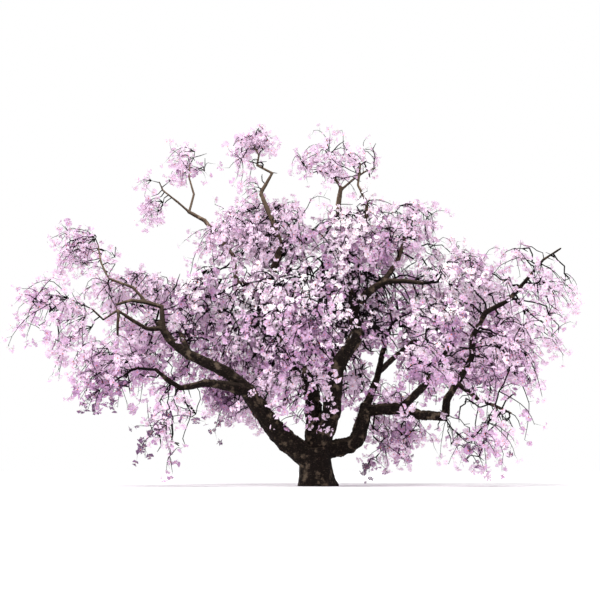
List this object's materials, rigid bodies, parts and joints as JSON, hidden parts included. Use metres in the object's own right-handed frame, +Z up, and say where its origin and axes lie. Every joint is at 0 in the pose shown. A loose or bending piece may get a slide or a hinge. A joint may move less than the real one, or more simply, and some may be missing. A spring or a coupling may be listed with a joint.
{
  "type": "cherry blossom tree",
  "caption": "Wide old weeping cherry in full pink blossom, with a short forked trunk, kinked boughs and separate hanging masses of flowers.",
  "frame": {"origin": "middle of the flat cut under the trunk, at ground level", "axes": "+X along the crown's longest spread, +Y away from the open front of the tree, +Z up along the trunk"},
  "size_m": [10.575, 7.7, 7.01],
  "materials": {
    "bark": "rough dark brown-black bark with grey-tan patches",
    "blossom": "matt petals, pale pink to mauve"
  },
  "bodies": {
    "root": {"trunk": "bark", "left_stem": "bark", "left_low_bough": "bark", "left_high_bough": "bark", "left_elbow_bough": "bark", "left_far_bough": "bark", "left_hanging_bough": "bark", "left_back_bough": "bark", "left_crown_sprig": "bark", "middle_stem": "bark", "middle_left_bough": "bark", "high_left_bough": "bark", "high_left_tip": "bark", "high_left_sprig": "bark", "crown_left_bough": "bark", "crown_left_sprig": "bark", "centre_stem": "bark", "right_high_bough": "bark", "crown_right_bough": "bark", "crown_right_sprig": "bark", "crown_right_arm": "bark", "crown_back_sprig": "bark", "upper_right_bough": "bark", "right_stem": "bark", "right_low_bough": "bark", "right_inner_bough": "bark", "right_arm": "bark", "right_far_bough": "bark", "right_hanging_bough": "bark", "front_bough": "bark", "front_right_bough": "bark", "back_bough": "bark", "back_left_bough": "bark", "back_right_bough": "bark", "heart_mass": "blossom", "crown_left_mass": "blossom", "crown_right_mass": "blossom", "inner_left_mass": "blossom", "right_shoulder_mass": "blossom", "front_mass": "blossom", "front_right_mass": "blossom", "back_mass": "blossom", "back_left_mass": "blossom", "back_right_mass": "blossom", "left_back_mass": "blossom", "left_shoulder_mass": "blossom", "left_tip_mass": "blossom", "left_curtain_mass": "blossom", "left_low_mass": "blossom", "front_hanging_mass": "blossom", "left_sprig_mass": "blossom", "high_left_tip_mass": "blossom", "high_left_top_mass": "blossom", "crown_left_top_mass": "blossom", "crown_right_top_mass": "blossom", "upper_right_mass": "blossom", "right_tip_mass": "blossom", "right_curtain_mass": "blossom", "right_low_mass": "blossom", "right_skirt_mass": "blossom"}
  },
  "joints": []
}
